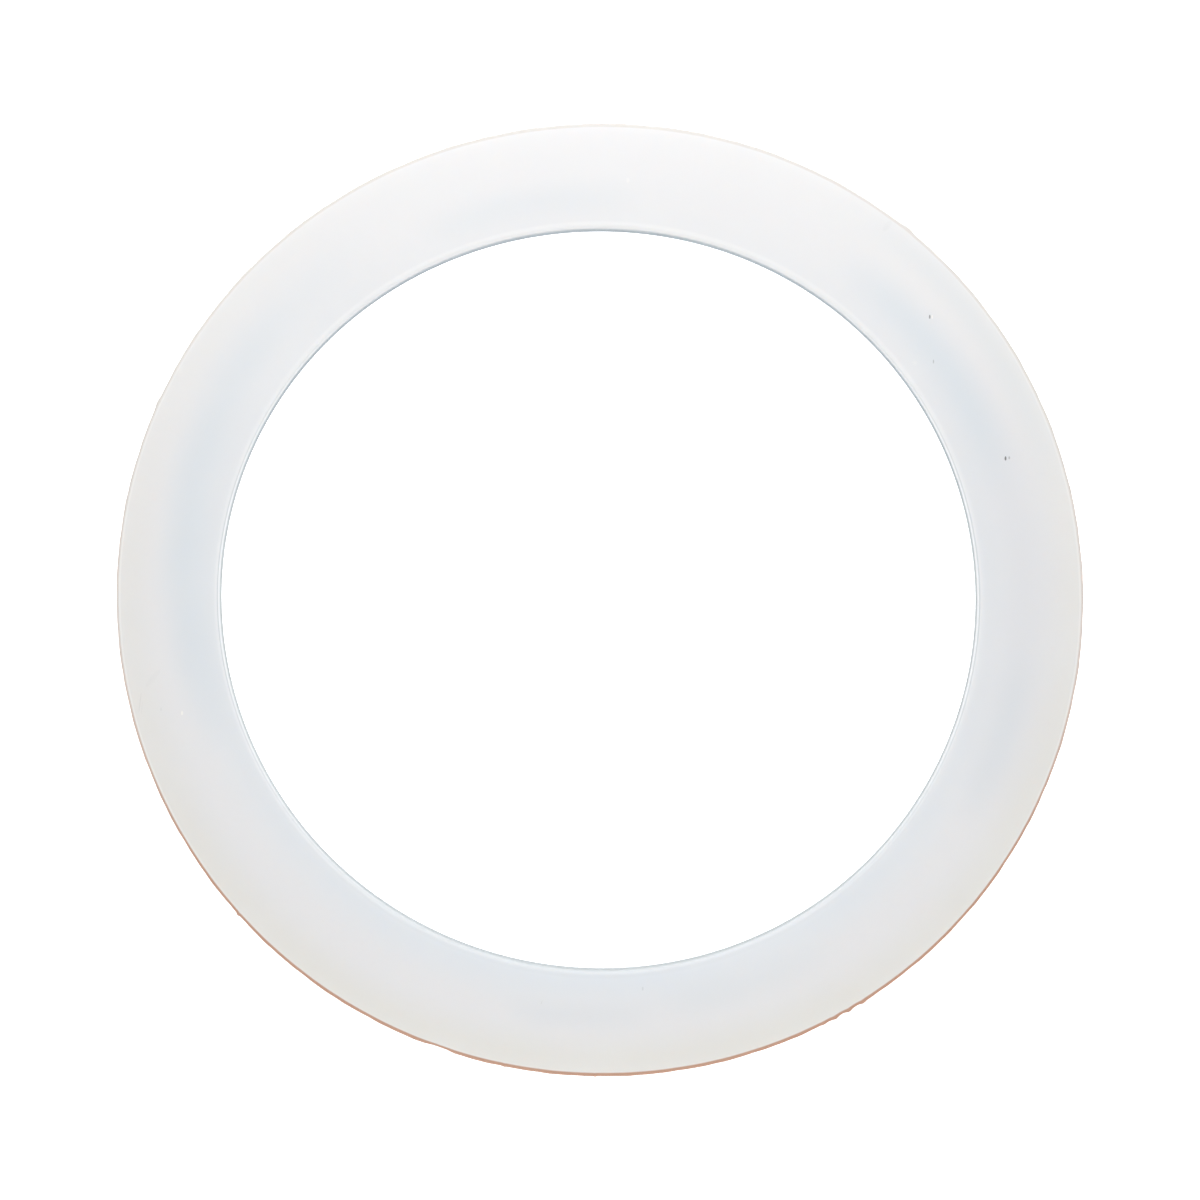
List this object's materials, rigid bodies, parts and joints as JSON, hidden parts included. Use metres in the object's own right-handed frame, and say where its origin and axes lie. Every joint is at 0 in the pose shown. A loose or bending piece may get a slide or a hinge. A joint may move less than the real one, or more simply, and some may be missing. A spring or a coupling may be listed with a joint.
{
  "type": "sanitary clamp gasket",
  "caption": "Flat moulded silicone ring with a round bore, softly crowned sealing faces and a trimmed parting line, for clamped tube ferrules.",
  "frame": {"origin": "centre of the bore on the parting plane, half way up the ring", "axes": "+Z along the bore, square to the two sealing faces; the ring is the same all round, so +X and +Y are any two directions across it"},
  "size_m": [0.0776, 0.0776, 0.003],
  "materials": {
    "silicone": "satin, translucent milky white"
  },
  "bodies": {
    "root": {"gasket": "silicone"}
  },
  "joints": []
}
